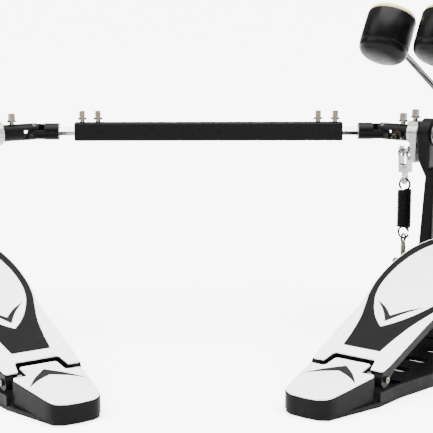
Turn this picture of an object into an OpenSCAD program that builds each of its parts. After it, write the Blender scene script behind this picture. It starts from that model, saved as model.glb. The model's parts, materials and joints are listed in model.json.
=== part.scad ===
// Twin bass drum pedal: a main pedal with two beaters and a slave pedal that
// drives the left beater through a telescoping shaft with two universal joints.
// Millimetres. +X right, +Y from heel to drum, +Z up. The origin is on the
// floor, under the front edge of the main pedal's heel plate, on its centre line.
// Every part is drawn at rest: footboards up, beaters leaning back.

/* [Axle and beaters] */
// Height of the beater axle above the floor
axle_z = 210; // [205:1:218]
// Distance of the axle ahead of the heel plate's front edge
axle_y = 265; // [262:1:268]
// Radius of both axles
axle_r = 5; // [4.5:0.1:5.2]
// Lean of the beaters behind upright at rest, in degrees
lean = 61; // [50:1:64]
// Turn of an axle from rest to just past upright, in degrees
swing = 66; // [60:1:68]
// Length from the axle's level to the middle of a beater head
beater_len = 197; // [185:1:205]
// How far a beater rod stands in front of its axle
rod_offset = 16; // [15:0.5:18]
// Radius of a beater rod
rod_r = 3; // [2.5:0.1:3.2]
// Radius of a beater head at its back
head_r = 23; // [21:0.5:25]
// Place of the left beater across the pedal
left_x = -19.5; // [-21:0.5:-18]
// Place of the right beater across the pedal
right_x = 36.5; // [30:0.5:40]

/* [Heel plates] */
// Width of the heel plate at its front
heel_w = 69; // [66:1:72]
// Width of the heel plate at its rear
heel_rear_w = 47; // [44:1:50]
// Length of the heel plate behind its front edge
heel_len = 61.5; // [58:0.5:66]
// Height of the heel plate's top at the rear
heel_rear_z = 20; // [18:0.5:22]
// Height of the heel plate's top at the front
heel_front_z = 28.5; // [27:0.5:30]
// Half the width of the heel plate's tongue
tongue_w = 19.2; // [18:0.1:20]
// Length of the tongue in front of the heel plate
tongue_len = 19.3; // [18:0.1:19.5]

/* [Footboards] */
// Slope of a footboard at rest, in degrees
slope = 19.5; // [18:0.5:21]
// Depth of a footboard's skirt below its white top
skirt = 7.4; // [6:0.2:8]
// Thickness of the white top sheet
sheet_t = 1.6; // [1.2:0.1:2]
// Height of the black grip pad above the white top
pad_t = 1.1; // [0.6:0.1:1.5]

/* [Frames] */
// Thickness of the base plates
base_t = 4; // [3:0.5:5]
// Height of the base plates' side rails above the floor
rail_z = 13; // [10:0.5:13.5]
// Half the width of the base plates at their front
base_front_w = 80; // [76:1:84]
// Outer face of the bearing heads, from each pedal's centre line
post_x = 68; // [67:0.5:68]

/* [Springs] */
// Radius of the spring cranks' pins about the axle
crank_r = 20; // [19:0.5:20]
// Place of both springs outside the posts
spring_x = 83.8; // [83.6:0.1:84.4]
// Outer radius of a spring
spring_r = 7.7; // [7:0.1:8]

/* [Chain drive] */
// Radius of the chain's middle line on the cam
chain_r = 33; // [32:0.5:34]

/* [Drive shaft] */
// Distance of the main pedal's universal joint from its centre line
main_joint_x = 113; // [112:0.5:114]
// Distance of the slave pedal's universal joint from its centre line
slave_joint_x = 113.5; // [112:0.5:115]
// Width of the square drive tube
tube_w = 19; // [18:0.5:20]

/* [Slave pedal's place] */
// Place of the slave pedal's own origin across the main pedal
slave_x = -203; // [-215:1:-195]
// Place of the slave pedal's own origin along the main pedal
slave_y = -167; // [-175:1:-160]
// Turn of the slave pedal about the vertical, in degrees
slave_turn = 70; // [68:0.5:72]

/* [Hidden] */
$fn = 48;
gap = 0.05;                       // running clearance on a radius
heel_slope = atan((heel_front_z - heel_rear_z) / heel_len);
post_bolt_y = 26;                 // post bolts ahead of and behind the axle
hinge_y = 12;                     // footboard hinge pin
hinge_z = 22;
hinge_r = 3;
board_y = 32.5;                   // origin of the footboard's own plane
board_z = 39.7;
toe_v = 284.5;                    // toe pin along the footboard, and above its top
toe_w = 8;
cam_pin_a = 25;                   // chain pivot, degrees above the cam's front
cam_pin_r = 34;
crank_a = 45 - swing / 2;         // crank pin behind straight down at rest
sag = crank_r * (1 - cos(swing / 2));
eye_off = (crank_r + sag / 2 - crank_r + crank_r * cos(swing / 2)) / sqrt(2);
eye_y = axle_y - crank_r * sin(crank_a) - sag / 2 / sqrt(2);
eye_z = axle_z - crank_r * cos(crank_a) - sag / 2 / sqrt(2);
yoke_r = 9;
main_joint = [-main_joint_x, axle_y, axle_z];
slave_joint = [slave_x + slave_joint_x * cos(slave_turn) - axle_y * sin(slave_turn),
               slave_y + slave_joint_x * sin(slave_turn) + axle_y * cos(slave_turn), axle_z];
drive_vec = slave_joint - main_joint;
drive_len = norm(drive_vec);
drive_dir = drive_vec / drive_len;
bend_main = acos(-drive_dir.x);   // angle of the shaft to the main axle
shaft_phase = atan(tan(swing / 2) * cos(bend_main));
slave_in = [-cos(slave_turn), -sin(slave_turn), 0];
bend_slave = acos(drive_dir * slave_in);
slave_phase = atan(tan(shaft_phase) / cos(bend_slave));
cross_trim = 2;                   // tilt of the crosses to the middle of their travel
tube_start = 46.5;                // square tube along the shaft, from the main joint
tube_end = drive_len - 46;
tube_bolts = [54, 72.5, drive_len - 71, drive_len - 54];

// ---- helpers --------------------------------------------------------------

// A smooth curve through the given points.
function smooth(p, n = 5) = concat(
    [for (i = [0:len(p) - 2]) for (k = [0:n - 1]) let (
        t = k / n, a = p[max(i - 1, 0)], b = p[i], c = p[i + 1],
        d = p[min(i + 2, len(p) - 1)])
        (2 * b + (c - a) * t + (2 * a - 5 * b + 4 * c - d) * t * t
            + (3 * b - a - 3 * c + d) * t * t * t) / 2],
    [p[len(p) - 1]]);

// Both halves of an outline that is given as [half width, place] points.
function both_sides(p) = concat(p, [for (i = [len(p) - 1:-1:0]) [-p[i].x, p[i].y]]);

// A rectangle with round corners, centred.
module rounded_rect(w, d, r) {
    square([w - 2 * r, d], center = true);
    square([w, d - 2 * r], center = true);
    for (x = [-1, 1], y = [-1, 1])
        translate([x * (w / 2 - r), y * (d / 2 - r)]) circle(r);
}

// A cylinder along X from x0 to x1, at the given y and z.
module x_rod(r, x0, x1, y = 0, z = 0) {
    translate([min(x0, x1), y, z]) rotate([0, 90, 0]) cylinder(r = r, h = abs(x1 - x0));
}

// A YZ profile, drawn as [y, z], extruded along X from x0 to x1.
module x_plate(x0, x1) {
    translate([min(x0, x1), 0, 0]) rotate([90, 0, 90])
        linear_extrude(abs(x1 - x0)) children();
}

// A drum key bolt: its seat is z = 0, its square head points up.
module key_bolt(depth, proud = 3.5) {
    translate([0, 0, -depth]) cylinder(r = 2.5, h = depth + proud);
    translate([0, 0, proud]) cylinder(r = 5, h = 1.5);
    translate([0, 0, proud + 1.5]) intersection() {
        translate([-2.9, -2.9, 0]) cube([5.8, 5.8, 7.6]);
        rotate_extrude() polygon([[0, 0], [4.2, 0], [4.2, 6.6], [2.6, 7.6], [0, 7.6]]);
    }
}

// The hole that a key bolt's shank sits in.
module key_hole(depth) {
    translate([0, 0, -depth]) cylinder(r = 2.6, h = depth + 1);
}

// Places a child on the slave pedal.
module on_slave() {
    translate([slave_x, slave_y, 0]) rotate([0, 0, slave_turn]) children();
}

// Places a child that is drawn with its beater upright at its rest lean.
module leaning() {
    translate([0, axle_y, axle_z]) rotate([lean, 0, 0]) children();
}

// Places a child that is drawn flat on the footboard's plane, X across, Y along.
module on_board() {
    translate([0, board_y, board_z]) rotate([slope, 0, 0]) children();
}

// Turns X to the given direction and Y to the given pin direction, at a point.
module aimed(at, dir, pin) {
    c = cross(dir, pin);
    multmatrix([[dir.x, pin.x, c.x, at.x], [dir.y, pin.y, c.y, at.y],
                [dir.z, pin.z, c.z, at.z], [0, 0, 0, 1]]) children();
}

// ---- heel plate and base ---------------------------------------------------

module heel_outline(inset = 0) {
    w = heel_w / 2 - inset;
    r = heel_rear_w / 2 - inset;
    t = tongue_w - inset;
    rear = smooth([[0, -heel_len - 3.5 + inset], [r * 0.55, -heel_len - 2.6 + inset],
                   [r * 0.9, -heel_len + 1.5 + inset], [r + 1.6, -heel_len + 10],
                   [w - 5.5, -heel_len / 2]], 5);
    front = [[w - 0.6, -3], [w - 1.6, -inset], [t + 1.5, -inset], [t, 1.5],
             [t, tongue_len - 2 - inset], [t - 2, tongue_len - inset]];
    polygon(both_sides(concat(rear, front)));
}

// Everything below the heel plate's sloping top, lowered by drop.
module under_heel_top(drop) {
    translate([0, 0, heel_front_z - drop]) rotate([heel_slope, 0, 0])
        translate([-100, -200, -100]) cube([200, 400, 100]);
}

module heel_block() {
    color("#232323") difference() {
        intersection() {
            translate([0, 0, base_t]) linear_extrude(60) heel_outline();
            under_heel_top(1.8);
        }
        x_rod(hinge_r + gap, -40, 40, hinge_y, hinge_z);
    }
}

module heel_cap() {
    color("#f1f0ec") difference() {
        intersection() {
            linear_extrude(60) heel_outline(0.7);
            under_heel_top(0);
        }
        under_heel_top(1.8);
    }
}

module base_outline() {
    polygon(both_sides([[0, -heel_len - 2], [14, -heel_len - 1], [22, -heel_len + 4],
        [33, -20], [38.6, 0], [40.4, 33], [48.5, 81], [base_front_w - 2, 240],
        [base_front_w, 248], [base_front_w, 292], [base_front_w - 8, 302], [30, 304]]));
}

module base_plate() {
    rail = [[38.6, 1], [40.4, 33], [48.5, 81], [base_front_w - 4.8, 226]];
    color("#2b2b2b") difference() {
        union() {
            linear_extrude(base_t) base_outline();
            for (s = [-1, 1]) linear_extrude(rail_z) polygon(concat(
                [for (p = rail) [s * p.x, p.y]],
                [for (i = [len(rail) - 1:-1:0]) [s * (rail[i].x - 3.4), rail[i].y]]));
            linear_extrude(base_t + 2) for (y = [62, 214])
                translate([0, y]) square([56, 5], center = true);
        }
        for (y = [100, 138, 176]) translate([0, y, -1])
            linear_extrude(base_t + 2) rounded_rect(26, 14, 6.9);
        post_bolt_places() translate([0, 0, -1]) cylinder(r = 3.1, h = base_t + 2);
    }
}

// The four places where the posts are bolted down.
module post_bolt_places() {
    for (s = [-1, 1], t = [-1, 1])
        translate([s * (post_x - 9), axle_y + t * post_bolt_y, 0]) children();
}

// ---- posts and bearings ----------------------------------------------------

// Upright corner rods of a box from x0 to x1, half y deep, for a hull.
module corners(x0, x1, y, z) {
    r = min(2.5, (x1 - x0) / 2);
    for (x = [x0 + r, x1 - r], s = [-1, 1])
        translate([x, axle_y + s * (y - r), z]) cylinder(r = r, h = 2, $fn = 24);
}

// One post, on the +X side: a domed bearing head on a flaring leg and a foot.
module post() {
    difference() {
        union() {
            hull() {
                x_rod(17, post_x - 16, post_x - 4, axle_y, axle_z, $fn = 32);
                x_rod(12.5, post_x - 17, post_x, axle_y, axle_z, $fn = 32);
                corners(post_x - 16, post_x - 4.5, 15, 182);
                corners(post_x - 16, post_x - 12.5, 14, 166);
            }
            hull() {
                corners(post_x - 22, post_x - 12.5, 14, 172);
                corners(post_x - 22, post_x - 2, 16.5, 8);
            }
            translate([post_x - 10, axle_y, base_t]) linear_extrude(6)
                rounded_rect(34, 66, 5);
        }
        x_rod(axle_r + 1, post_x - 30, post_x + 10, axle_y, axle_z);
        x_rod(11, post_x - 30, post_x - 9.9, axle_y, axle_z);
        for (s = [-1, 1]) translate([post_x - 9, axle_y + s * post_bolt_y, -1])
            cylinder(r = 3.1, h = 30);
    }
}

// The arm on a main post that holds the spring's tension rod.
module spring_arm() {
    difference() {
        union() {
            translate([post_x - 12, eye_y - 8, 60]) cube([spring_x - post_x + 12, 16, 8]);
            translate([spring_x, eye_y, 60]) cylinder(r = 8, h = 8);
        }
        translate([spring_x, eye_y, 50]) cylinder(r = 3.1, h = 30);
    }
}

module main_posts() {
    color("#1d1d1d") for (s = [0, 1]) mirror([s, 0, 0]) {
        post();
        spring_arm();
    }
}

module slave_posts() {
    color("#1d1d1d") for (s = [0, 1]) mirror([s, 0, 0]) post();
}

module bearings() {
    color("#9a9a9a") for (s = [0, 1]) mirror([s, 0, 0]) difference() {
        union() {
            x_rod(11 - 0.02, post_x - 18, post_x - 10, axle_y, axle_z);
            x_rod(12.6, post_x - 18.8, post_x - 17.05, axle_y, axle_z);
        }
        x_rod(axle_r + gap, post_x - 30, post_x, axle_y, axle_z);
    }
}

// ---- fasteners ------------------------------------------------------------

module hinge_pin() {
    difference() {
        x_rod(hinge_r, -39.4, 39.4, hinge_y, hinge_z);
        for (s = [-1, 1]) x_rod(1.1, s * 38.2, s * 41, hinge_y, hinge_z);
    }
    for (s = [-1, 1]) difference() {
        x_rod(5.2, s * (tongue_w + 0.1), s * 28.3, hinge_y, hinge_z);
        x_rod(hinge_r + 0.02, s * 15, s * 32, hinge_y, hinge_z);
    }
}

module post_bolt() {
    cylinder(r = 3, h = base_t + 6);
    translate([0, 0, base_t + 6]) cylinder(r = 6.2, h = 1.2);
    translate([0, 0, base_t + 7.2]) cylinder(r = 5.2, h = 4, $fn = 6);
}

module main_fasteners() {
    color("#c9c6c0") {
        hinge_pin();
        post_bolt_places() translate([0, 0, 0.5]) post_bolt();
        x_rod(clamp_pin_r, -27.5, 27.5, jaw_y, jaw_z);
    }
}

module slave_fasteners() {
    color("#c9c6c0") {
        hinge_pin();
        post_bolt_places() translate([0, 0, 0.5]) post_bolt();
    }
}

// ---- hoop clamp ------------------------------------------------------------

clamp_pin_r = 3;
jaw_y = 296;
jaw_z = 30;
screw_y = 279;

module hoop_clamp() {
    color("#262626") difference() {
        union() {
            x_plate(-27, 27) polygon([[286, base_t], [304.2, base_t], [304.2, 1.5],
                [350, 1.5], [352, 3.5], [352, 9], [313, 9], [309, 12.5], [286, 12.5]]);
            for (s = [-1, 1]) x_plate(s * 20.5, s * 27) {
                polygon([[286, 12], [309, 12], [302, 33], [290, 33]]);
                translate([jaw_y, jaw_z]) circle(7);
            }
        }
        x_rod(clamp_pin_r + 0.02, -40, 40, jaw_y, jaw_z);
    }
}

module hoop_jaw() {
    color("#303030") difference() {
        union() {
            x_plate(-19.5, 19.5) {
                polygon([[272, 27], [300, 24], [336, 24.5], [340, 21], [350, 21],
                         [350, 25.5], [326, 31], [303, 36.5], [288, 35], [272, 33.5]]);
                translate([jaw_y, jaw_z]) circle(6.9);
            }
        }
        x_rod(clamp_pin_r + gap, -40, 40, jaw_y, jaw_z);
        translate([0, screw_y, 0]) cylinder(r = 4.4, h = 60);
    }
}

module clamp_screw() {
    color("#c9c6c0") translate([0, screw_y, 0]) {
        translate([0, 0, base_t + 0.1]) cylinder(r = 3.5, h = 42);
        translate([0, 0, 44]) cylinder(r = 6.5, h = 9);
        difference() {
            translate([0, 1.6, 0]) rotate([90, 0, 0]) linear_extrude(3.2) for (s = [-1, 1])
                translate([s * 12, 51]) circle(7.5);
            translate([0, 0, 40]) cylinder(r = 5.5, h = 30);
        }
    }
}

// ---- footboard -------------------------------------------------------------

// Half outline of the black field on the footboard, [half width, along].
field = smooth([[19, 0], [21.6, 20], [26.6, 45], [34.6, 70], [40.6, 88], [45, 112],
                [46, 140], [43.8, 163], [39.4, 181], [30, 198], [19, 210], [8, 216]]);
// Half outline of the whole footboard from its ears to its toe.
rim = smooth([[36.8, -25], [38, -10], [38.6, 30], [39.8, 62], [42.6, 84], [46.6, 108],
              [48, 138], [46, 163], [41.6, 182], [32, 200], [21, 213], [15.5, 226],
              [14, 245]]);
// Half outline of the raised oval in the middle.
oval = smooth([[0, 36], [8, 44], [17, 55.5], [25.5, 70], [32.5, 86], [37.2, 106],
               [38.4, 128], [37, 148], [33.4, 166], [26, 184], [14, 199], [0, 205]]);

module board_outline(end_v, inset = 0) {
    polygon(concat([[24.5, -27.4], [34.8, -27.4]],
        [for (p = rim) [p.x - inset, p.y]],
        [[13 - inset, end_v - 6], [8 - inset, end_v]],
        [[-8 + inset, end_v], [-13 + inset, end_v - 6]],
        [for (i = [len(rim) - 1:-1:0]) [-rim[i].x + inset, rim[i].y]],
        [[-34.8, -27.4], [-24.5, -27.4], [-22, -14.7], [-20, -12.7],
         [20, -12.7], [22, -14.7]]));
}

module footboard() {
    // the hinge pin, seen from the footboard's plane
    pin_v = (hinge_y - board_y) * cos(slope) + (hinge_z - board_z) * sin(slope);
    pin_w = (hinge_z - board_z) * cos(slope) - (hinge_y - board_y) * sin(slope);
    color("#242424") on_board() difference() {
        union() {
            translate([0, 0, -sheet_t - skirt]) linear_extrude(skirt) board_outline(294);
            for (s = [-1, 1]) {
                x_plate(s * 28.5, s * 37) {
                    translate([pin_v, pin_w]) circle(7.5);
                    polygon([[pin_v - 7.4, pin_w + 1], [-27.4, -sheet_t], [0, -sheet_t],
                             [0, -sheet_t - skirt], [pin_v + 7, pin_w - 2.6]]);
                }
                x_plate(s * 5, s * 8) {
                    translate([toe_v, toe_w]) circle(5);
                    polygon([[toe_v - 5, toe_w], [toe_v - 9, -sheet_t - 1],
                             [toe_v + 9, -sheet_t - 1], [toe_v + 5, toe_w]]);
                }
            }
            x_rod(2.3, -8.8, 8.8, toe_v, toe_w);
        }
        difference() {
            translate([0, 0, -sheet_t - skirt - 1]) linear_extrude(skirt - 1.6)
                polygon(both_sides([for (p = rim) if (p.y > 4 && p.y < 205) [p.x - 4, p.y]]));
            for (v = [50, 95, 140, 180]) translate([-60, v, -12]) cube([120, 3, 12]);
            translate([-1.5, 0, -12]) cube([3, 220, 12]);
        }
        x_rod(hinge_r + gap, -60, 60, pin_v, pin_w);
        for (s = [-1, 1]) x_rod(5.7, s * 19.2, s * 28.5, pin_v, pin_w);
        translate([-3.6, toe_v - 13, -20]) cube([7.2, 26, 20]);
    }
}

module footboard_top() {
    color("#f4f3ef") on_board() {
        translate([0, 0, -sheet_t]) linear_extrude(sheet_t) board_outline(268);
        linear_extrude(pad_t + 0.35) polygon(both_sides(oval));
    }
}

module footboard_pad() {
    color("#2c2b2a") on_board() linear_extrude(pad_t) difference() {
        polygon(both_sides(field));
        polygon(both_sides([for (p = oval) [p.x == 0 ? 0 : p.x + 0.15,
                                            p.y + (p.y < 120 ? -0.15 : 0.15)]]));
    }
}

// ---- cam and chain -----------------------------------------------------------

module cam() {
    color("#3a3a3c") translate([0, axle_y, axle_z]) difference() {
        union() {
            x_rod(chain_r - 6, -6.4, 6.4);
            for (s = [-1, 1]) x_rod(chain_r + 3, s * 6.4, s * 8.4);
        }
        x_rod(axle_r + 0.02, -20, 20);
        for (a = [15:60:345]) rotate([a, 0, 0]) x_rod(5, -20, 20, 17.5, 0);
        rotate([lean, 0, 0]) translate([0, 0, chain_r - 6]) key_hole(chain_r);
    }
}

// The stretch of chain that lies on the cam, anchored at its end.
module chain_wrap() {
    color("#b9b7b2") translate([0, axle_y, axle_z]) {
        x_plate(-6, 6) intersection() {
            difference() {
                circle(chain_r + 3.5);
                circle(chain_r - 5.9);
            }
            polygon(concat([[0, 0]], [for (a = [34:13:112]) 60 * [cos(a), sin(a)]]));
        }
    }
}

// The straight stretch of chain from the cam down to the toe of the footboard.
module chain_run() {
    top = [axle_y + cam_pin_r * cos(cam_pin_a), axle_z + cam_pin_r * sin(cam_pin_a)];
    toe = [board_y + toe_v * cos(slope) - toe_w * sin(slope),
           board_z + toe_v * sin(slope) + toe_w * cos(slope)];
    run = norm(toe - top);
    tilt = atan2(toe.x - top.x, top.y - toe.y);
    ring_drop = 0.2;
    color("#b9b7b2") translate([0, top.x, top.y]) rotate([tilt, 0, 0]) difference() {
        union() {
            x_plate(-6, 6) {
                circle(3.5);
                translate([-3.5, -run + 19]) square([7, run - 19]);
            }
            x_plate(-2.4, 2.4) {
                translate([-3.5, -run + 5]) square([7, 20]);
                translate([0, -run - ring_drop]) circle(9);
            }
        }
        x_rod(6.6, -5, 5, 0, -run - ring_drop);
    }
}

// ---- axles, hubs and cranks ---------------------------------------------------

module right_axle() {
    color("#8f8f90") difference() {
        x_rod(axle_r, -9, post_x + 16, axle_y, axle_z);
        x_rod(2.5 + gap, -12, 6, axle_y, axle_z);
    }
}

module left_axle() {
    color("#8f8f90") {
        x_rod(axle_r, -main_joint_x + 15, -9.6, axle_y, axle_z);
        x_rod(2.5, -10, 5, axle_y, axle_z);
    }
}

module slave_axle() {
    color("#8f8f90") x_rod(axle_r, -post_x - 6, slave_joint_x - 15, axle_y, axle_z);
}

// A beater's clamp on its axle, at the given place across the pedal.
module beater_hub(x) {
    color("#d4d2cc") leaning() translate([x, 0, 0]) difference() {
        union() {
            x_rod(11.4, -6.8, 6.8);
            translate([0, 14, 0]) rotate([90, 0, 90])
                linear_extrude(13.6, center = true) rounded_rect(21, 19, 3);
        }
        x_rod(axle_r + 0.02, -20, 20);
        translate([0, rod_offset, -20]) cylinder(r = rod_r + gap, h = 40);
        translate([0, 24.5, 0]) rotate([-90, 0, 0]) key_hole(5.4);
    }
}

module hub_bolt(x) {
    leaning() translate([x, 24.5, 0]) rotate([-90, 0, 0]) key_bolt(5.3, 1);
}

// A cast crank outside a post; side is -1 on the left and 1 on the right.
module spring_crank(side) {
    near = post_x + 0.8;
    pin = [-crank_r * sin(crank_a), -crank_r * cos(crank_a)];
    color("#dcdad3") translate([0, axle_y, axle_z]) difference() {
        union() {
            x_rod(10.8, side * near, side * (near + 12));
            translate([side * (near + 6), 0, 6.5]) cube([12, 15, 13], center = true);
            hull() {
                x_rod(10.8, side * near, side * (near + 9), $fn = 32);
                translate([side * (near + 2), -4, -29]) cube([4, 17, 2], center = true);
            }
            x_rod(2.5, side * (near + 3.2), side * (spring_x + 7), pin.x, pin.y);
            x_rod(3.9, side * (spring_x + 6.1), side * (spring_x + 7.7), pin.x, pin.y);
        }
        x_rod(axle_r + 0.02, side * (post_x - 10), side * 110);
        translate([side * (near + 7), 0, 13]) key_hole(7.9);
    }
}

module crank_bolt(side) {
    translate([side * (post_x + 7.8), axle_y, axle_z + 13]) key_bolt(7.8);
}

// Bolts in a yoke, at the given angles from straight up.
module yoke_bolts(x, angles) {
    for (a = angles) translate([x, axle_y, axle_z]) rotate([a, 0, 0])
        translate([0, 0, yoke_r]) key_bolt(yoke_r - axle_r - 0.1, 2.5);
}

module cam_bolt() {
    translate([0, axle_y, axle_z]) rotate([lean, 0, 0]) translate([0, 0, axle_r + 0.1])
        cylinder(r = 2.5, h = chain_r - 12.5 - axle_r);
}

module right_key_bolts() {
    color("#cdbfae") {
        hub_bolt(right_x);
        crank_bolt(1);
        cam_bolt();
    }
}

module left_key_bolts() {
    color("#cdbfae") {
        hub_bolt(left_x);
        crank_bolt(-1);
        yoke_bolts(-main_joint_x + 22.6, [0, 100]);
    }
}

module slave_key_bolts() {
    color("#cdbfae") {
        cam_bolt();
        yoke_bolts(slave_joint_x - 24, [0]);
    }
}

// The cast collar between the slave's post and its yoke.
module slave_axle_hub() {
    color("#dcdad3") translate([0, axle_y, axle_z]) difference() {
        union() {
            x_rod(12.5, post_x + 0.8, post_x + 8.5);
        }
        x_rod(axle_r + 0.02, 0, 200);
    }
}

// ---- beaters -----------------------------------------------------------------

module beater_rod(x) {
    color("#cfcfce") leaning() translate([x, rod_offset, -30])
        cylinder(r = rod_r, h = beater_len + 30 + 12);
}

// The head's outline from its axis outwards, [along the strike, radius].
module beater_head(x) {
    color("#1f1f1f") leaning() translate([x, rod_offset, beater_len]) difference() {
        rotate([-90, 0, 0]) rotate_extrude() polygon(concat(
            [for (a = [90:-10:0]) [a == 90 ? 0 : head_r * pow(cos(a), 0.77),
                                   -12.6 - 12.6 * pow(sin(a), 0.77)]],
            [[head_r, 17.8], [head_r - 1, 18.8], [0, 18.8]]));
        translate([0, 0, -60]) cylinder(r = rod_r + 0.02, h = 72.1);
    }
}

module beater_felt(x) {
    color("#ece3c4") leaning() translate([x, rod_offset, beater_len])
        rotate([-90, 0, 0]) rotate_extrude() polygon(concat([[0, 18.8], [head_r - 1.5, 18.8]],
            [for (a = [0:15:90]) [head_r - 5.5 + 4 * cos(a), 20.4 + 4 * sin(a)]], [[0, 24.4]]));
}

// ---- springs -------------------------------------------------------------------

// The stirrup that hangs on a crank's pin and holds the top of a spring.
module spring_hanger(side) {
    color("#d9d9d8") translate([side * spring_x, eye_y, eye_z]) difference() {
        union() {
            for (s = [-1, 1]) x_plate(s * 3.6, s * 5.8) {
                circle(6.8);
                translate([-5, -20]) square([10, 20]);
            }
            translate([0, 0, -17]) cube([11.6, 10, 8], center = true);
            x_plate(-1.5, 1.5) {
                translate([-4, -30]) square([8, 14]);
                translate([0, hook_z - eye_z]) circle(5.6);
            }
        }
        x_rod(2.5 + sag / 2 + 0.3, -10, 10);
        x_rod(3.2, -10, 10, 0, hook_z - eye_z);
    }
}

hook_z = 160.5;
coil_top = 149.6;
coil_low = 107.4;
ring_r = 6.2;
wire_r = 1.1;
rod_eye_z = 96.3;

module spring(side) {
    color("#1b1b1b") translate([side * spring_x, eye_y, 0]) {
        translate([0, 0, coil_low]) difference() {
            cylinder(r = spring_r, h = coil_top - coil_low);
            translate([0, 0, -1]) cylinder(r = spring_r - 2.2, h = 60);
        }
        for (z = [coil_top + ring_r - wire_r, coil_low - ring_r + wire_r])
            translate([0, 0, z]) rotate([90, 0, 0]) rotate_extrude()
                translate([ring_r, 0]) circle(wire_r, $fn = 24);
    }
}

// Tension rods with an eye at the top and two nuts on the arm.
module spring_rods() {
    color("#b3a693") for (s = [-1, 1]) translate([s * spring_x, eye_y, 0]) {
        difference() {
            union() {
                translate([0, 0, 44]) cylinder(r = 2.8, h = rod_eye_z - 48);
                x_rod(5.4, -2, 2, 0, rod_eye_z);
            }
            x_rod(3, -5, 5, 0, rod_eye_z);
        }
        difference() {
            union() {
                translate([0, 0, 54.4]) cylinder(r = 6.2, h = 5.5, $fn = 6);
                translate([0, 0, 68.1]) cylinder(r = 11, h = 4.5);
            }
            translate([0, 0, 50]) cylinder(r = 2.82, h = 30);
        }
    }
}

// ---- universal joints and drive shaft -------------------------------------------

// A fork: its shaft runs along +X from the joint's centre, its pins along Y.
module yoke(len, pin_gap, bore) {
    difference() {
        union() {
            x_rod(yoke_r, 13.5, len);
            intersection() {
                x_rod(yoke_r, -10, 14);
                rotate([90, 0, 0]) linear_extrude(30, center = true) {
                    circle(5.2);
                    translate([0, -5.2]) square([16, 10.4]);
                }
            }
        }
        translate([-20, -5.9, -20]) cube([33.5, 11.8, 40]);
        rotate([90, 0, 0]) cylinder(r = 2.2 + pin_gap, h = 40, center = true);
        x_rod(bore, 0, 100);
    }
}

// The cross in a joint: one pair of pins along X, the other along Y.
module joint_cross() {
    color("#a9a7a2") {
        x_rod(2.2, -8.7, 8.7);
        rotate([0, 0, 90]) x_rod(2.2, -8.7, 8.7);
        intersection() {
            cube(10.6, center = true);
            sphere(r = 7.2, $fn = 40);
        }
    }
}

// Pin directions at rest: the axles' own, and the shaft's, square to both.
main_pin = [0, -sin(swing / 2), cos(swing / 2)];
main_cross_v = cross(main_pin, drive_dir);
main_shaft_pin = main_cross_v / norm(main_cross_v);
slave_pin = [sin(slave_turn) * sin(slave_phase), -cos(slave_turn) * sin(slave_phase),
             cos(slave_phase)];
slave_cross_v = cross(slave_pin, drive_dir);
slave_shaft_pin = slave_cross_v / norm(slave_cross_v);

module left_axle_yoke() {
    color("#222222") difference() {
        aimed(main_joint, [1, 0, 0], main_pin) yoke(31.6, gap, axle_r + 0.02);
        for (a = [0, 100]) translate([-main_joint_x + 22.6, axle_y, axle_z]) rotate([a, 0, 0])
            translate([0, 0, yoke_r]) key_hole(yoke_r - 1);
    }
}

module slave_axle_yoke() {
    color("#222222") difference() {
        aimed(slave_joint, slave_in, slave_pin) yoke(34, gap, axle_r + 0.02);
        on_slave() translate([slave_joint_x - 24, axle_y, axle_z + yoke_r])
            key_hole(yoke_r - 1);
    }
}

module main_joint_cross() {
    aimed(main_joint, main_pin, main_shaft_pin * cos(cross_trim)
        + cross(main_pin, main_shaft_pin) * sin(cross_trim)) joint_cross();
}

module slave_joint_cross() {
    aimed(slave_joint, slave_pin, slave_shaft_pin * cos(cross_trim)
        - cross(slave_pin, slave_shaft_pin) * sin(cross_trim)) joint_cross();
}

module main_shaft_yoke() {
    color("#222222") aimed(main_joint, drive_dir, main_shaft_pin) yoke(29, 0.45, 5.02);
}

module slave_shaft_yoke() {
    color("#222222") aimed(slave_joint, -drive_dir, slave_shaft_pin) yoke(29, 0.45, 5.02);
}

// Hexagonal rods that slide in the square tube.
module shaft_rod(len) {
    translate([15, 0, 0]) rotate([0, 90, 0]) cylinder(r = 5, h = len, $fn = 6);
}

module main_shaft_rod() {
    color("#c4c2bd") aimed(main_joint, drive_dir, main_shaft_pin) shaft_rod(125);
}

module slave_shaft_rod() {
    color("#c4c2bd") aimed(slave_joint, -drive_dir, slave_shaft_pin) shaft_rod(95);
}

module drive_tube() {
    color("#262525") aimed(main_joint, drive_dir, [0, 0, 1]) difference() {
        translate([tube_start, 0, 0]) rotate([90, 0, 90])
            linear_extrude(tube_end - tube_start) rounded_rect(tube_w, tube_w, 1.6);
        x_rod(5.1, 0, drive_len);
        translate([tube_start + 38, -6.5, -6.5]) cube([tube_end - tube_start - 76, 13, 13]);
        for (s = tube_bolts) translate([s, tube_w / 2, 0]) rotate([-90, 0, 0]) key_hole(8);
    }
}

module tube_bolts() {
    color("#cdbfae") aimed(main_joint, drive_dir, [0, 0, 1]) for (s = tube_bolts)
        translate([s, tube_w / 2, 0]) rotate([-90, 0, 0]) key_bolt(tube_w / 2 - 5.2);
}

// ---- parts ----------------------------------------------------------------------

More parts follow.
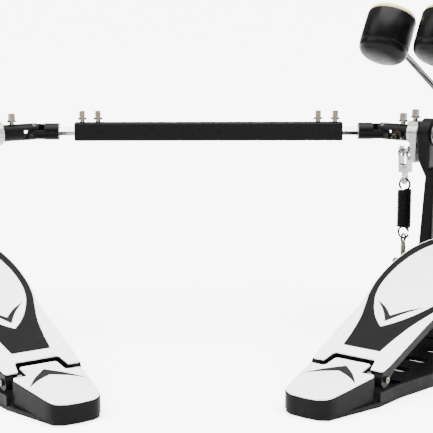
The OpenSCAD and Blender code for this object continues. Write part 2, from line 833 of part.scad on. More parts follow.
base_plate();  // main_base_plate
heel_block();  // main_heel_block
heel_cap();  // main_heel_cap
main_fasteners();
main_posts();
bearings();  // main_bearings
spring_rods();
hoop_clamp();
hoop_jaw();
clamp_screw();
footboard();  // main_footboard
footboard_top();  // main_footboard_top
footboard_pad();  // main_footboard_pad
right_axle();
cam();  // main_cam
chain_wrap();  // main_chain_wrap
beater_hub(right_x);  // right_beater_hub
spring_crank(1);  // right_spring_crank
right_key_bolts();
beater_rod(right_x);  // right_beater_rod
beater_head(right_x);  // right_beater_head
beater_felt(right_x);  // right_beater_felt
left_axle();
beater_hub(left_x);  // left_beater_hub
spring_crank(-1);  // left_spring_crank
left_axle_yoke();
left_key_bolts();
beater_rod(left_x);  // left_beater_rod
beater_head(left_x);  // left_beater_head
beater_felt(left_x);  // left_beater_felt
chain_run();  // main_chain_run
spring_hanger(-1);  // left_spring_hanger
spring_hanger(1);  // right_spring_hanger
spring(-1);  // left_spring
spring(1);  // right_spring
main_joint_cross();
main_shaft_yoke();
main_shaft_rod();
drive_tube();
tube_bolts();
slave_shaft_rod();
slave_shaft_yoke();
slave_joint_cross();
on_slave() base_plate();  // slave_base_plate
on_slave() heel_block();  // slave_heel_block
on_slave() heel_cap();  // slave_heel_cap
on_slave() slave_fasteners();
on_slave() slave_posts();
on_slave() bearings();  // slave_bearings
on_slave() slave_axle();
on_slave() cam();  // slave_cam
on_slave() chain_wrap();  // slave_chain_wrap
on_slave() slave_axle_hub();
slave_axle_yoke();
on_slave() slave_key_bolts();
on_slave() footboard();  // slave_footboard
on_slave() footboard_top();  // slave_footboard_top
on_slave() footboard_pad();  // slave_footboard_pad
on_slave() chain_run();  // slave_chain_run
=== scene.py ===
# Twin bass drum pedal. Metres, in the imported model's frame: +X right, +Y heel to drum, +Z up.
import bpy
import bmesh
import json
import math
from mathutils import Matrix, Vector


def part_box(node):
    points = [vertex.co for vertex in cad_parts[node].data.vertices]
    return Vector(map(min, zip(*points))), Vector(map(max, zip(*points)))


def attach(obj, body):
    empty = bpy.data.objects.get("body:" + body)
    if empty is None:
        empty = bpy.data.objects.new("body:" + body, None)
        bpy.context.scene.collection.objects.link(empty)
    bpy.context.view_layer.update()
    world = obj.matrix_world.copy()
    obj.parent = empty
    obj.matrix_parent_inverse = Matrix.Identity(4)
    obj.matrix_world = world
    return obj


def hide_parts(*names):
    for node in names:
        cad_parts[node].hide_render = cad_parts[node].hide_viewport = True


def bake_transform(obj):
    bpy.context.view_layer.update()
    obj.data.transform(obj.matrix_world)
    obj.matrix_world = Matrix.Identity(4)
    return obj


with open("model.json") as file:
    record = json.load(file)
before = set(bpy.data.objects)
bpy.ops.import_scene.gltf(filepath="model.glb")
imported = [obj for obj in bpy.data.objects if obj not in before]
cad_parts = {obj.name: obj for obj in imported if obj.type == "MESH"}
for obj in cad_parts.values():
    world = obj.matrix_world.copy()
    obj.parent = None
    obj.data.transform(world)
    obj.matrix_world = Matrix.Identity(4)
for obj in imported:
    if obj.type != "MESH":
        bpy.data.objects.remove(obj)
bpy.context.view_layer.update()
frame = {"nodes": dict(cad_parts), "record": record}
NODES = frame["nodes"]
BODY = {n: b for b, members in frame["record"]["behaviour"]["bodies"].items() for n in members}
SLOT = {s["node"]: s["material_slot"] for s in frame["record"]["subparts"]}
MM = 0.001
AXLE = Vector((0, 0.265, 0.210))
SLAVE = Matrix.Translation((-0.203, -0.167, 0)) @ Matrix.Rotation(math.radians(70), 4, "Z")
MAIN = Matrix.Identity(4)
LEAN = Matrix.Translation(AXLE) @ Matrix.Rotation(math.radians(61), 4, "X")
BOARD = Matrix.Translation((0, 0.0325, 0.0397)) @ Matrix.Rotation(math.radians(19.5), 4, "X")
HEEL = (Matrix.Translation((0, 0, 0.0285))
        @ Matrix.Rotation(math.atan2(8.5, 61.5), 4, "X"))


# ---- materials ---------------------------------------------------------------

class Graph:
    """A small helper round one material's node tree."""

    def __init__(self, name):
        self.mat = bpy.data.materials.new(name)
        self.mat.use_nodes = True
        self.tree = self.mat.node_tree
        self.tree.nodes.clear()
        self.out = self.node("ShaderNodeOutputMaterial")
        self.bsdf = self.node("ShaderNodeBsdfPrincipled")
        self.link(self.bsdf, "BSDF", self.out, "Surface")
        self.coord = self.node("ShaderNodeTexCoord")

    def node(self, kind, **values):
        n = self.tree.nodes.new(kind)
        for k, v in values.items():
            if k in n.inputs:
                n.inputs[k].default_value = v
            else:
                setattr(n, k, v)
        return n

    def link(self, a, out, b, inp):
        self.tree.links.new(a.outputs[out], b.inputs[inp])

    def noise(self, scale, detail=4.0, rough=0.55, stretch=(1, 1, 1), kind="noise"):
        m = self.node("ShaderNodeMapping")
        m.inputs["Scale"].default_value = [scale * s for s in stretch]
        self.link(self.coord, "Object", m, "Vector")
        if kind == "cells":
            n = self.node("ShaderNodeTexVoronoi")
            n.inputs["Scale"].default_value = 1.0
            self.link(m, "Vector", n, "Vector")
            return n, "Distance"
        n = self.node("ShaderNodeTexNoise")
        n.inputs["Scale"].default_value = 1.0
        n.inputs["Detail"].default_value = detail
        n.inputs["Roughness"].default_value = rough
        self.link(m, "Vector", n, "Vector")
        return n, "Fac"

    def ramp(self, source, stops):
        r = self.node("ShaderNodeValToRGB")
        els = r.color_ramp.elements
        while len(els) < len(stops):
            els.new(0.5)
        for e, (p, c) in zip(els, stops):
            e.position = p
            e.color = (c[0], c[1], c[2], 1) if hasattr(c, "__len__") else (c, c, c, 1)
        self.link(source[0], source[1], r, "Fac")
        return r, "Color"

    def mix(self, a, b, fac, blend="MIX"):
        m = self.node("ShaderNodeMixRGB", blend_type=blend)
        for slot_name, v in (("Color1", a), ("Color2", b), ("Fac", fac)):
            if isinstance(v, tuple) and hasattr(v[0], "outputs"):
                self.link(v[0], v[1], m, slot_name)
            elif isinstance(v, (int, float)):
                m.inputs[slot_name].default_value = v
            else:
                m.inputs[slot_name].default_value = (v[0], v[1], v[2], 1)
        return m, "Color"

    def bump(self, source, strength, distance, under=None):
        b = self.node("ShaderNodeBump")
        b.inputs["Strength"].default_value = strength
        b.inputs["Distance"].default_value = distance
        self.link(source[0], source[1], b, "Height")
        if under is not None:
            self.link(under, "Normal", b, "Normal")
        return b


def finish_material(name, base, rough, metal=0.0, vary=0.12, rough_vary=0.08, grain=900.0,
                    grain_depth=0.00003, grain_strength=0.15, cloud=28.0, coat=0.0, worn=None,
                    stretch=(1, 1, 1), specular=0.5, dust=0.0):
    """A finish with cloudy colour variation, fine grain, uneven gloss and worn edges."""
    g = Graph(name)
    base = Vector(base)
    cloud_n = g.noise(cloud, 3.0)
    fine_n = g.noise(grain, 3.0, 0.6, stretch)
    colour = g.ramp(cloud_n, [(0.3, base * (1 - vary)), (0.7, base * (1 + vary))])
    fleck = g.ramp(fine_n, [(0.35, base * (1 - vary)), (0.65, base * (1 + vary))])
    colour = g.mix(colour, fleck, 0.35)
    if dust:
        speck = g.noise(2600.0, 2.0, 0.7)
        mask = g.ramp(speck, [(0.66, 0.0), (0.74, dust)])
        colour = g.mix(colour, base * 3, mask)
    if worn is not None:
        geo = g.node("ShaderNodeNewGeometry")
        edge = g.ramp((geo, "Pointiness"), [(0.54, 0.0), (0.64, 1.0)])
        patch = g.ramp(g.noise(160.0, 5.0, 0.7), [(0.5, 0.0), (0.72, 0.5)])
        mask = g.mix(edge, patch, 1.0, "MULTIPLY")
        colour = g.mix(colour, worn, mask)
    g.link(colour[0], colour[1], g.bsdf, "Base Color")
    gloss = g.ramp(g.noise(cloud * 3, 5.0, 0.65), [(0.3, rough - rough_vary), (0.7, rough + rough_vary)])
    g.link(gloss[0], gloss[1], g.bsdf, "Roughness")
    g.bsdf.inputs["Metallic"].default_value = metal
    g.bsdf.inputs["Specular IOR Level"].default_value = specular
    g.bsdf.inputs["Coat Weight"].default_value = coat
    g.bsdf.inputs["Coat Roughness"].default_value = 0.12
    bump = g.bump(fine_n, grain_strength, grain_depth)
    g.link(bump, "Normal", g.bsdf, "Normal")
    return g.mat


def felt_material():
    g = Graph("felt")
    fibre = g.noise(2400.0, 6.0, 0.75, (1, 1, 0.5))
    tuft = g.noise(420.0, 4.0, 0.6)
    colour = g.ramp(fibre, [(0.3, (0.30, 0.225, 0.075)), (0.7, (0.46, 0.375, 0.160))])
    colour = g.mix(colour, g.ramp(tuft, [(0.3, (0.33, 0.250, 0.090)), (0.7, (0.48, 0.400, 0.180))]), 0.5)
    g.link(colour[0], colour[1], g.bsdf, "Base Color")
    g.bsdf.inputs["Roughness"].default_value = 0.95
    g.bsdf.inputs["Sheen Weight"].default_value = 0.6
    g.bsdf.inputs["Sheen Roughness"].default_value = 0.5
    low = g.bump(tuft, 0.5, 0.0006)
    top = g.bump(fibre, 0.7, 0.0003, low)
    g.link(top, "Normal", g.bsdf, "Normal")
    return g.mat


def pad_material():
    g = Graph("grip_pad")
    cells = g.noise(1500.0, kind="cells")
    cloud = g.noise(30.0, 4.0)
    colour = g.ramp(cloud, [(0.3, (0.0020, 0.0020, 0.0020)), (0.7, (0.0031, 0.0031, 0.0030))])
    dots = g.ramp(cells, [(0.1, (0.0052, 0.0052, 0.0051)), (0.6, (0.0020, 0.0020, 0.0020))])
    colour = g.mix(colour, dots, 0.35)
    g.link(colour[0], colour[1], g.bsdf, "Base Color")
    gloss = g.ramp(g.noise(90.0, 5.0, 0.65), [(0.3, 0.44), (0.7, 0.6)])
    g.link(gloss[0], gloss[1], g.bsdf, "Roughness")
    g.bsdf.inputs["Specular IOR Level"].default_value = LOW_GLOSS
    bump = g.bump(cells, 0.25, 0.00012)
    g.link(bump, "Normal", g.bsdf, "Normal")
    return g.mat


BARE = (0.014, 0.014, 0.0145)
LOW_GLOSS = 0.03


def black(name, level, rough, grain, **extra):
    """A near-black finish: very dark, faintly uneven, with a low sheen and rubbed edges."""
    options = dict(vary=0.22, grain=grain, grain_strength=0.2, worn=BARE, dust=0.5,
                   specular=LOW_GLOSS)
    options.update(extra)
    return finish_material(name, (level, level, level * 1.04), rough, **options)


MATS = {
    "black_casting": black("black_casting", 0.0016, 0.34, 1300),
    "dark_plate": black("dark_plate", 0.0028, 0.42, 1700, grain_strength=0.3),
    "heel_casting": black("heel_casting", 0.0016, 0.38, 1300),
    "white_paint": finish_material("white_paint", (0.54, 0.538, 0.532), 0.26, vary=0.025,
                                   grain=700, grain_strength=0.06, coat=0.3, cloud=20),
    "grip_pad": pad_material(),
    "silver_casting": finish_material("silver_casting", (0.21, 0.208, 0.203), 0.30, metal=0.95,
                                      vary=0.07, grain=1500, grain_strength=0.3, cloud=60),
    "chrome_rod": finish_material("chrome_rod", (0.25, 0.25, 0.255), 0.12, metal=1.0, vary=0.04,
                                  rough_vary=0.05, grain=900, grain_strength=0.05),
    # A darkened copy of the chrome for the beater rods: painted shade, the dark look of their reflections
    # put into the base colour.
    "chrome_painted_shade": finish_material("chrome_painted_shade", (0.070, 0.070, 0.072), 0.10, metal=1.0, vary=0.08,
                                  rough_vary=0.04, grain=900, grain_strength=0.05),
    # A darker copy of the chrome with strong blotchy tone for the spring hangers: painted highlights and
    # reflections put into the base colour.
    "hanger_chrome_painted_reflections": finish_material("hanger_chrome_painted_reflections", (0.135, 0.135, 0.138), 0.12, metal=1.0,
                                     vary=0.6, rough_vary=0.05, grain=500, cloud=130,
                                     grain_strength=0.3),
    "steel_axle": finish_material("steel_axle", (0.15, 0.15, 0.15), 0.24, metal=1.0, vary=0.08,
                                  grain=2200, stretch=(1, 0.15, 0.15), grain_strength=0.12),
    "nickel": finish_material("nickel", (0.056, 0.047, 0.039), 0.14, metal=1.0, vary=0.35,
                              grain=1800, grain_strength=0.12, cloud=240),
    "bearing_steel": finish_material("bearing_steel", (0.10, 0.10, 0.10), 0.3, metal=1.0,
                                     vary=0.1, grain=2000),
    "black_steel": black("black_steel", 0.0014, 0.30, 1500),
    "chain_steel": finish_material("chain_steel", (0.17, 0.165, 0.155), 0.26, metal=1.0, vary=0.12,
                                   grain=2000, cloud=160),
    "spring_steel": black("spring_steel", 0.0012, 0.42, 2500, worn=None, dust=0.0),
    "beater_shell": black("beater_shell", 0.0013, 0.30, 800, grain_strength=0.1, worn=None,
                          dust=0.0, specular=0.045),
    "felt": felt_material(),
    "yoke_steel": black("yoke_steel", 0.0015, 0.32, 1500),
    "badge_ink": finish_material("badge_ink", (0.006, 0.006, 0.006), 0.34, vary=0.15, grain=900,
                                 specular=LOW_GLOSS),
    "cross_steel": finish_material("cross_steel", (0.05, 0.05, 0.05), 0.3, metal=1.0,
                                   vary=0.15, grain=1900),
    "knurled_steel": finish_material("knurled_steel", (0.085, 0.08, 0.075), 0.33, metal=1.0,
                                     vary=0.15, grain=1900),
}


# ---- mesh helpers --------------------------------------------------------------

def make(name, bm, material, body, angle=32.0, replaces=(), weighted=True):
    """Turns a bmesh into a smooth-shaded piece that rides on a body."""
    bmesh.ops.recalc_face_normals(bm, faces=bm.faces)
    me = bpy.data.meshes.new(name)
    bm.to_mesh(me)
    bm.free()
    for p in me.polygons:
        p.use_smooth = True
    me.set_sharp_from_angle(angle=math.radians(angle))
    me.materials.append(MATS[material])
    o = bpy.data.objects.new(name, me)
    bpy.context.scene.collection.objects.link(o)
    if weighted:
        w = o.modifiers.new("weighted", "WEIGHTED_NORMAL")
        w.keep_sharp = True
    if body is not None:
        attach(o, body)
    if replaces:
        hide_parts(*replaces)
    return o


def softened(node, width, segments=3, material=None, angle=30.0):
    """A node's own shape with its sharp edges rounded over, as a piece in the node's place."""
    bm = bmesh.new()
    bm.from_mesh(NODES[node].data)
    bmesh.ops.remove_doubles(bm, verts=bm.verts, dist=2e-6)
    bmesh.ops.dissolve_limit(bm, angle_limit=math.radians(1.0), verts=bm.verts, edges=bm.edges,
                             delimit={"NORMAL"})
    bmesh.ops.recalc_face_normals(bm, faces=bm.faces)
    edges = [e for e in bm.edges if len(e.link_faces) == 2
             and e.calc_face_angle(0) > math.radians(angle)]
    bmesh.ops.bevel(bm, geom=edges, offset=width, offset_type="OFFSET", segments=segments,
                    profile=0.5, affect="EDGES", clamp_overlap=True, miter_outer="ARC")
    return make(node + "_shape", bm, material or SLOT[node], BODY[node],
                replaces=(node,))


def tube(bm, points, radius, sides=8, closed=False, cap=True):
    """Sweeps a circle along a path. radius is one number or one for each point."""
    n = len(points)
    pts = [Vector(p) for p in points]
    tangents = []
    for i in range(n):
        a = pts[(i - 1) % n] if closed or i > 0 else pts[i]
        b = pts[(i + 1) % n] if closed or i < n - 1 else pts[i]
        tangents.append((b - a).normalized())
    side = tangents[0].orthogonal().normalized()
    rings = []
    for i in range(n):
        t = tangents[i]
        side = (side - t * side.dot(t)).normalized()
        up = t.cross(side)
        r = radius[i] if hasattr(radius, "__len__") else radius
        rings.append([bm.verts.new(pts[i] + (side * math.cos(a) + up * math.sin(a)) * r)
                      for a in (2 * math.pi * k / sides for k in range(sides))])
    last = n if closed else n - 1
    for i in range(last):
        a, b = rings[i], rings[(i + 1) % n]
        for k in range(sides):
            bm.faces.new((a[k], a[(k + 1) % sides], b[(k + 1) % sides], b[k]))
    if cap and not closed:
        bm.faces.new(rings[0][::-1])
        bm.faces.new(rings[-1])


def lathe(bm, profile, matrix, steps=64):
    """Turns a profile of (along, radius) points round the matrix's own Y axis."""
    rings = []
    for along, radius in profile:
        if radius < 1e-7:
            rings.append([bm.verts.new(matrix @ Vector((0, along, 0)))])
        else:
            rings.append([bm.verts.new(matrix @ Vector((radius * math.cos(a), along,
                                                        radius * math.sin(a))))
                          for a in (2 * math.pi * k / steps for k in range(steps))])
    for a, b in zip(rings, rings[1:]):
        for k in range(steps):
            j = (k + 1) % steps
            if len(a) == 1:
                bm.faces.new((a[0], b[j], b[k]))
            elif len(b) == 1:
                bm.faces.new((a[k], a[j], b[0]))
            else:
                bm.faces.new((a[k], a[j], b[j], b[k]))


def plate(bm, outline, low, high, matrix, edge=0.00025):
    """A flat plate with a rounded upper edge, from an outline in the matrix's XY plane."""
    low_ring = [bm.verts.new(matrix @ Vector((x, y, low))) for x, y in outline]
    high_ring = [bm.verts.new(matrix @ Vector((x, y, high))) for x, y in outline]
    n = len(outline)
    bm.faces.new(low_ring[::-1])
    bm.faces.new(high_ring)
    for k in range(n):
        bm.faces.new((low_ring[k], low_ring[(k + 1) % n], high_ring[(k + 1) % n], high_ring[k]))
    rim = set(high_ring)
    top = [e for e in bm.edges if e.verts[0] in rim and e.verts[1] in rim]
    bmesh.ops.bevel(bm, geom=top, offset=edge, segments=2, profile=0.5, affect="EDGES")


def curve(points, steps=8):
    """A smooth line through 2-D points."""
    out = []
    for i in range(len(points) - 1):
        a, b = points[max(i - 1, 0)], points[i]
        c, d = points[i + 1], points[min(i + 2, len(points) - 1)]
        for k in range(steps):
            t = k / steps
            out.append(tuple((2 * b[j] + (c[j] - a[j]) * t
                              + (2 * a[j] - 5 * b[j] + 4 * c[j] - d[j]) * t * t
                              + (3 * b[j] - a[j] - 3 * c[j] + d[j]) * t ** 3) / 2
                             for j in range(2)))
    out.append(tuple(points[-1]))
    return out


# ---- carried-over shapes with rounded edges ---------------------------------------

ROUNDED = {
    "_base_plate": 0.8, "_heel_block": 1.3, "_heel_cap": 0.5, "_fasteners": 0.35, "_posts": 1.6,
    "_bearings": 0.3, "_footboard": 1.1, "_footboard_top": 0.45, "_footboard_pad": 0.3,
    "_cam": 0.6, "_joint_cross": 0.4, "_shaft_yoke": 0.9, "_shaft_rod": 0.35,
}
for pedal in ("main", "slave"):
    for part, width in ROUNDED.items():
        softened(pedal + part, width * MM,
                 material="cross_steel" if part == "_joint_cross" else None)
for side in ("left", "right"):
    softened(side + "_beater_hub", 0.9 * MM)
    softened(side + "_spring_crank", 1.0 * MM)
    softened(side + "_key_bolts", 0.3 * MM)
    # The beater rods take the darkened chrome copy, which is painted shade.
    softened(side + "_beater_rod", 0.7 * MM, material="chrome_painted_shade")
    # The hangers take the blotchy chrome copy, which is painted highlights and reflections.
    softened(side + "_spring_hanger", 0.6 * MM, material="hanger_chrome_painted_reflections")
    softened(side + "_axle", 0.4 * MM)
for part, width in (("hoop_clamp", 0.9), ("hoop_jaw", 0.9), ("clamp_screw", 0.6),
                    ("left_axle_yoke", 0.9), ("slave_axle_yoke", 0.9), ("slave_axle", 0.4),
                    ("slave_axle_hub", 1.1), ("slave_key_bolts", 0.3), ("drive_tube", 0.7),
                    ("tube_bolts", 0.3)):
    softened(part, width * MM)


# ---- beaters -------------------------------------------------------------------

HEAD_R = 0.023


def beater(side, x):
    """The moulded shell and the felt, turned round the line of the strike."""
    place = LEAN @ Matrix.Translation((x, 0.016, 0.197))
    back = []
    for k in range(0, 13):
        u = math.radians(90 - 7.5 * k)
        back.append((-0.0131 - 0.0124 * math.sin(u) ** 0.77,
                     (HEAD_R - 0.0003) * max(math.cos(u), 0) ** 0.77))
    side_line = [(-0.0129, HEAD_R - 0.0007), (-0.0126, HEAD_R - 0.0008), (-0.0123, HEAD_R - 0.0005),
                 (-0.0116, HEAD_R), (0.004, HEAD_R), (0.0172, HEAD_R - 0.0002),
                 (0.0181, HEAD_R - 0.0006), (0.0187, HEAD_R - 0.0014), (0.0188, HEAD_R - 0.003),
                 (0.0186, 0.0)]
    bm = bmesh.new()
    lathe(bm, back + side_line, place)
    make(side + "_beater_shell", bm, "beater_shell", side + "_beater", 50,
         replaces=(side + "_beater_head",), weighted=False)
    pad = [(0.0186, 0.0), (0.0187, HEAD_R - 0.0024), (0.0192, HEAD_R - 0.0017),
           (0.0205, HEAD_R - 0.0015), (0.0218, HEAD_R - 0.0019), (0.0230, HEAD_R - 0.0032),
           (0.0237, HEAD_R - 0.0055), (0.0241, HEAD_R - 0.009), (0.0243, 0.008), (0.0244, 0.0)]
    bm = bmesh.new()
    lathe(bm, pad, place)
    make(side + "_felt_disc", bm, "felt", side + "_beater", 60,
         replaces=(side + "_beater_felt",), weighted=False)


beater("right", 0.0365)
beater("left", -0.0195)


# ---- springs --------------------------------------------------------------------

SPRING_R = 0.0077
EYE_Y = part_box("left_spring")[0].y + SPRING_R
SPRING_X = {side: sum(corner.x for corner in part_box(side + "_spring")) / 2
            for side in ("left", "right")}


def coil_spring(side, x):
    """A close-wound spring with a full ring at each end."""
    low, high, wire, ring = 0.1074, 0.1496, 0.00108, 0.0062
    r = SPRING_R - wire
    turns = round((high - low - 2 * wire) / (2 * wire * 1.045))
    pts = []
    for k in range(27):
        a = math.radians(-72 + 324 * k / 26) - math.pi / 2
        pts.append((math.cos(a + math.pi) * ring, 0.0, low - ring + wire
                    + math.sin(a) * ring))
    lead = [(0.3 * r, 0.25 * r, low - 0.1 * wire), (0.75 * r, 0.35 * r, low + 0.3 * wire)]
    start = math.atan2(0.35, 0.75)
    steps = int(turns * 20)
    coil = []
    for k in range(steps + 1):
        a = start + 0.35 + 2 * math.pi * turns * k / steps
        coil.append((r * math.cos(a), r * math.sin(a),
                     low + wire + (high - low - 2 * wire) * k / steps))
    top = []
    end = coil[-1]
    for t in (0.35, 0.7):
        top.append((end[0] * (1 - t), end[1] * (1 - t), high - wire * (1 - t)))
    ring_top = []
    for k in range(27):
        a = math.radians(-90 + 324 * k / 26)
        ring_top.append((math.cos(a) * ring, 0.0, high + ring - wire + math.sin(a) * ring))
    bm = bmesh.new()
    place = Matrix.Translation((x, EYE_Y, 0))
    path = [place @ Vector(p) for p in pts + lead + coil + top + ring_top]
    tube(bm, path, wire, 8)
    o = make(side + "_coil", bm, "spring_steel", None, 60, weighted=False)
    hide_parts(side + "_spring")
    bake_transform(o)


for side, x in SPRING_X.items():
    coil_spring(side, x)


def tension_rod(side, x):
    """The threaded rod below a spring: eye, thread, lock nut and knurled nut."""
    bm = bmesh.new()
    place = Matrix.Translation((x, EYE_Y, 0))
    tube(bm, [place @ Vector((0, 0, z)) for z in (0.0441, 0.0446, 0.0915)],
         [0.0018, 0.0024, 0.0024], 20)
    turns = 42
    helix = []
    for k in range(turns * 14):
        a = 2 * math.pi * k / 14
        helix.append(place @ Vector((0.00245 * math.cos(a), 0.00245 * math.sin(a),
                                     0.0447 + 0.0435 * k / (turns * 14))))
    tube(bm, helix, 0.00036, 5)
    eye = [place @ Vector((0, 0.0042 * math.cos(a), 0.0963 + 0.0042 * math.sin(a)))
           for a in (2 * math.pi * k / 36 for k in range(36))]
    tube(bm, eye, 0.0012, 10, closed=True)
    make(side + "_tension_rod", bm, "nickel", "main_base", 50, weighted=False,
         replaces=("spring_rods",) if side == "left" else ())
    for name, z, r, h, kind in (("lock_nut", 0.0544, 0.0062, 0.0055, 6),
                                ("thumb_nut", 0.0681, 0.0110, 0.0045, 56)):
        bm = bmesh.new()
        rows = [(0, r - 0.0007), (0.0005, r), (h - 0.0005, r), (h, r - 0.0007)]
        rings = []
        for dz, rr in rows:
            ring = []
            for k in range(kind * 2):
                a = math.pi * k / kind
                cut = 0.00035 if kind > 6 and k % 2 else 0.0
                if kind == 6 and k % 2:
                    cut = rr * (1 - math.cos(math.pi / 6))
                ring.append(bm.verts.new(place @ Vector(((rr - cut) * math.cos(a),
                                                         (rr - cut) * math.sin(a), z + dz))))
            rings.append(ring)
        for a, b in zip(rings, rings[1:]):
            for k in range(len(a)):
                j = (k + 1) % len(a)
                bm.faces.new((a[k], a[j], b[j], b[k]))
        bm.faces.new(rings[0][::-1])
        bm.faces.new(rings[-1])
        make(side + "_" + name, bm, "knurled_steel", "main_base", 25)


for side, x in SPRING_X.items():
    tension_rod(side, x)


# ---- chains ---------------------------------------------------------------------

def links(name, pins, matrix, body, node, wide=0.0058, height=0.0034):
    """A roller chain through the given pin places, which are (y, z) in the matrix's frame."""
    bm = bmesh.new()

    def at(x, y, z):
        return matrix @ Vector((x, y, z))

    for i, (p, q) in enumerate(zip(pins, pins[1:])):
        p, q = Vector(p), Vector(q)
        along = (q - p).normalized()
        across = Vector((-along.y, along.x))
        outline = []
        for k in range(25):
            t = k / 24
            a = -math.pi / 2 - math.pi * t
            outline.append(p + (along * math.cos(a) + across * math.sin(a)) * height)
        waist = (p + q) / 2 - across * height * -0.72
        outline.append(waist)
        for k in range(25):
            t = k / 24
            a = math.pi / 2 - math.pi * t
            outline.append(q + (along * math.cos(a) + across * math.sin(a)) * height)
        outline.append((p + q) / 2 - across * height * 0.72)
        inner, outer = (wide - 0.0022, wide - 0.0013) if i % 2 else (wide - 0.0011, wide - 0.0003)
        for s in (-1, 1):
            a = [bm.verts.new(at(s * inner, v.x, v.y)) for v in outline]
            b = [bm.verts.new(at(s * outer, v.x, v.y)) for v in outline]
            bm.faces.new(a)
            bm.faces.new(b)
            for k in range(len(a)):
                j = (k + 1) % len(a)
                bm.faces.new((a[k], a[j], b[j], b[k]))
    for p in pins:
        tube(bm, [at(x, p[0], p[1]) for x in (-wide, -wide + 0.0003, wide - 0.0003, wide)],
             [0.0011, 0.0014, 0.0014, 0.0011], 14)
        tube(bm, [at(x, p[0], p[1]) for x in (-wide + 0.0024, -wide + 0.0027, wide - 0.0027,
                                              wide - 0.0024)],
             [0.0021, 0.0024, 0.0024, 0.0021], 18)
    make(name, bm, "chain_steel", body, 35, replaces=(node,) if node else ())


def chains(pedal, matrix):
    place = matrix @ Matrix.Translation(AXLE)
    arc = [(0.0322 * math.cos(math.radians(a)), 0.0322 * math.sin(math.radians(a)))
           for a in (41, 57.5, 74, 90.5, 107)]
    links(pedal + "_chain_on_cam", arc, place, pedal_axle[pedal], pedal + "_chain_wrap",
          height=0.0036)
    top = Vector((0.034 * math.cos(math.radians(25)), 0.034 * math.sin(math.radians(25))))
    toe_v, toe_w, s = 0.2845, 0.008, math.radians(19.5)
    toe = Vector((0.0325 + toe_v * math.cos(s) - toe_w * math.sin(s) - 0.265,
                  0.0397 + toe_v * math.sin(s) + toe_w * math.cos(s) - 0.210))
    down = (toe - top).normalized()
    run = (toe - top).length
    count = 7
    pins = [top + down * (run - 0.0185) * k / count for k in range(count + 1)]
    links(pedal + "_chain_down", [tuple(p) for p in pins], place, pedal + "_chain", None)
    # the last piece reaches round the toe pin
    bm = bmesh.new()
    a = pins[-1]
    ring = [toe + Vector((math.cos(t), math.sin(t))) * 0.0079
            for t in (2 * math.pi * k / 48 for k in range(48))]
    tube(bm, [place @ Vector((0, p.x, p.y)) for p in ring], 0.0011, 10, closed=True)
    for x in (-0.0018, 0.0018):
        tube(bm, [place @ Vector((x, p.x, p.y)) for p in (a, a + down * 0.0042,
                                                          toe - down * 0.0084)],
             [0.0016, 0.0015, 0.0012], 10)
    make(pedal + "_chain_end", bm, "chain_steel", pedal + "_chain", 50,
         replaces=(pedal + "_chain_run",), weighted=False)


pedal_axle = {"main": "right_axle", "slave": "slave_axle"}
chains("main", MAIN)
chains("slave", SLAVE)


# ---- plain marks on the white surfaces -----------------------------------------------

def chevron(tip, arm, thick, bend):
    """A plain tapered chevron: its tip, one arm's end, its thickness, and how far it bows."""
    def arm_line(px, py, ex, ey, bow):
        mx, my = (px + ex) / 2, (py + ey) / 2
        dx, dy = ex - px, ey - py
        length = math.hypot(dx, dy)
        return curve([(px, py), (mx - dy / length * bow, my + dx / length * bow), (ex, ey)], 8)
    outer = arm_line(tip[0], tip[1], arm[0], arm[1], bend)
    inner = arm_line(tip[0], tip[1] + thick, arm[0], arm[1], bend)
    half = outer + inner[::-1][1:]
    other = [(-x, y) for x, y in half[::-1]]
    line = half + other[1:-1]
    return [(x * MM, y * MM) for x, y in line]


for pedal, matrix in (("main", MAIN), ("slave", SLAVE)):
    bm = bmesh.new()
    plate(bm, chevron((0, 44.5), (25.5, 77), 10.5, 1.8), 0.0012, 0.00158, matrix @ BOARD, 0.00008)
    plate(bm, [(x * MM, y * MM) for x, y in
               curve([(-17, 188.5), (0, 195.5), (17, 188.5)], 8)
               + curve([(17, 188.5), (0, 198.5), (-17, 188.5)], 8)[1:-1]],
          0.0012, 0.00158, matrix @ BOARD, 0.00008)
    make(pedal + "_board_mark", bm, "badge_ink", pedal + "_board",
         weighted=False)
    bm = bmesh.new()
    plate(bm, chevron((0, 6.5), (28, -25), -12.5, 1.8), -0.0003, 0.00014, matrix @ HEEL, 0.00005)
    make(pedal + "_heel_mark", bm, "badge_ink", pedal + "_base",
         weighted=False)


# ---- floor, light, camera ----------------------------------------------------------

def area(name, place, target, size, power, colour=(1, 1, 1)):
    light = bpy.data.lights.new(name, "AREA")
    light.shape = "RECTANGLE"
    light.size, light.size_y = size
    light.energy = power
    light.color = colour
    o = bpy.data.objects.new(name, light)
    o.location = place
    o.rotation_euler = (Vector(target) - Vector(place)).to_track_quat("-Z", "Y").to_euler()
    bpy.context.scene.collection.objects.link(o)


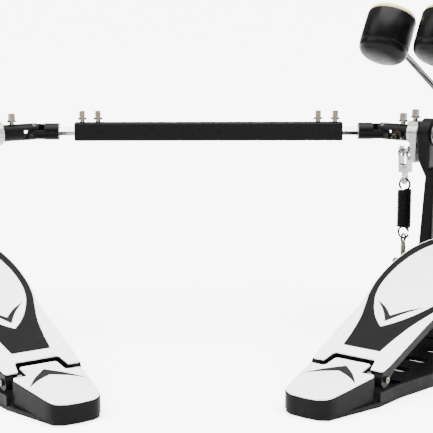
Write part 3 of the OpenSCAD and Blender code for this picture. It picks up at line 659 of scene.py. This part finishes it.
floor_bm = bmesh.new()
bmesh.ops.create_grid(floor_bm, x_segments=2, y_segments=2, size=150.0)
floor_me = bpy.data.meshes.new("floor")
floor_bm.to_mesh(floor_me)
floor_bm.free()
floor = bpy.data.objects.new("floor", floor_me)
floor_graph = Graph("pale_floor")
floor_colour = floor_graph.ramp(floor_graph.noise(3.0, 3.0), [(0.3, 0.93), (0.7, 0.95)])
floor_graph.link(floor_colour[0], floor_colour[1], floor_graph.bsdf, "Base Color")
floor_graph.bsdf.inputs["Roughness"].default_value = 0.75
floor_graph.bsdf.inputs["Specular IOR Level"].default_value = 0.15
floor_me.materials.append(floor_graph.mat)
bpy.context.scene.collection.objects.link(floor)

world = bpy.data.worlds.new("studio")
world.use_nodes = True
sky = world.node_tree
sky_coord = sky.nodes.new("ShaderNodeTexCoord")
sky_split = sky.nodes.new("ShaderNodeSeparateXYZ")
sky_ramp = sky.nodes.new("ShaderNodeValToRGB")
for element, (place, level) in zip([*sky_ramp.color_ramp.elements, sky_ramp.color_ramp.elements.new(0.5)],
                                   ((0.0, 0.10), (1.0, 1.0), (0.35, 0.22))):
    element.position = place
    element.color = (level, level, level, 1)
sky.links.new(sky_coord.outputs["Generated"], sky_split.inputs["Vector"])
sky.links.new(sky_split.outputs["Z"], sky_ramp.inputs["Fac"])
sky.links.new(sky_ramp.outputs["Color"], sky.nodes["Background"].inputs["Color"])
sky.nodes["Background"].inputs["Strength"].default_value = 2.2
bpy.context.scene.world = world


def sun(name, direction, power, spread):
    """A broad, even light from one side; spread is its angular width in degrees."""
    light = bpy.data.lights.new(name, "SUN")
    light.energy = power
    light.angle = math.radians(spread)
    o = bpy.data.objects.new(name, light)
    o.rotation_euler = (-Vector(direction)).to_track_quat("-Z", "Y").to_euler()
    bpy.context.scene.collection.objects.link(o)


sun("overhead", (0.10, -0.15, 1.0), 24.0, 70)
sun("front_left", (-0.75, -0.75, 0.75), 3.0, 40)
CENTRE = (-0.15, 0.12, 0.12)
area("right_strip", (1.5, 0.2, 0.8), CENTRE, (0.3, 1.4), 14)

camera_data = bpy.data.cameras.new("camera")
camera = bpy.data.objects.new("camera", camera_data)
camera.location = (0.5632, -0.9317, 0.3617)
camera.rotation_euler = (math.radians(90 - 10.24), 0, math.radians(37.09))
camera_data.sensor_width = 36
camera_data.lens = 104.84
camera_data.clip_end = 500
bpy.context.scene.collection.objects.link(camera)
bpy.context.scene.camera = camera
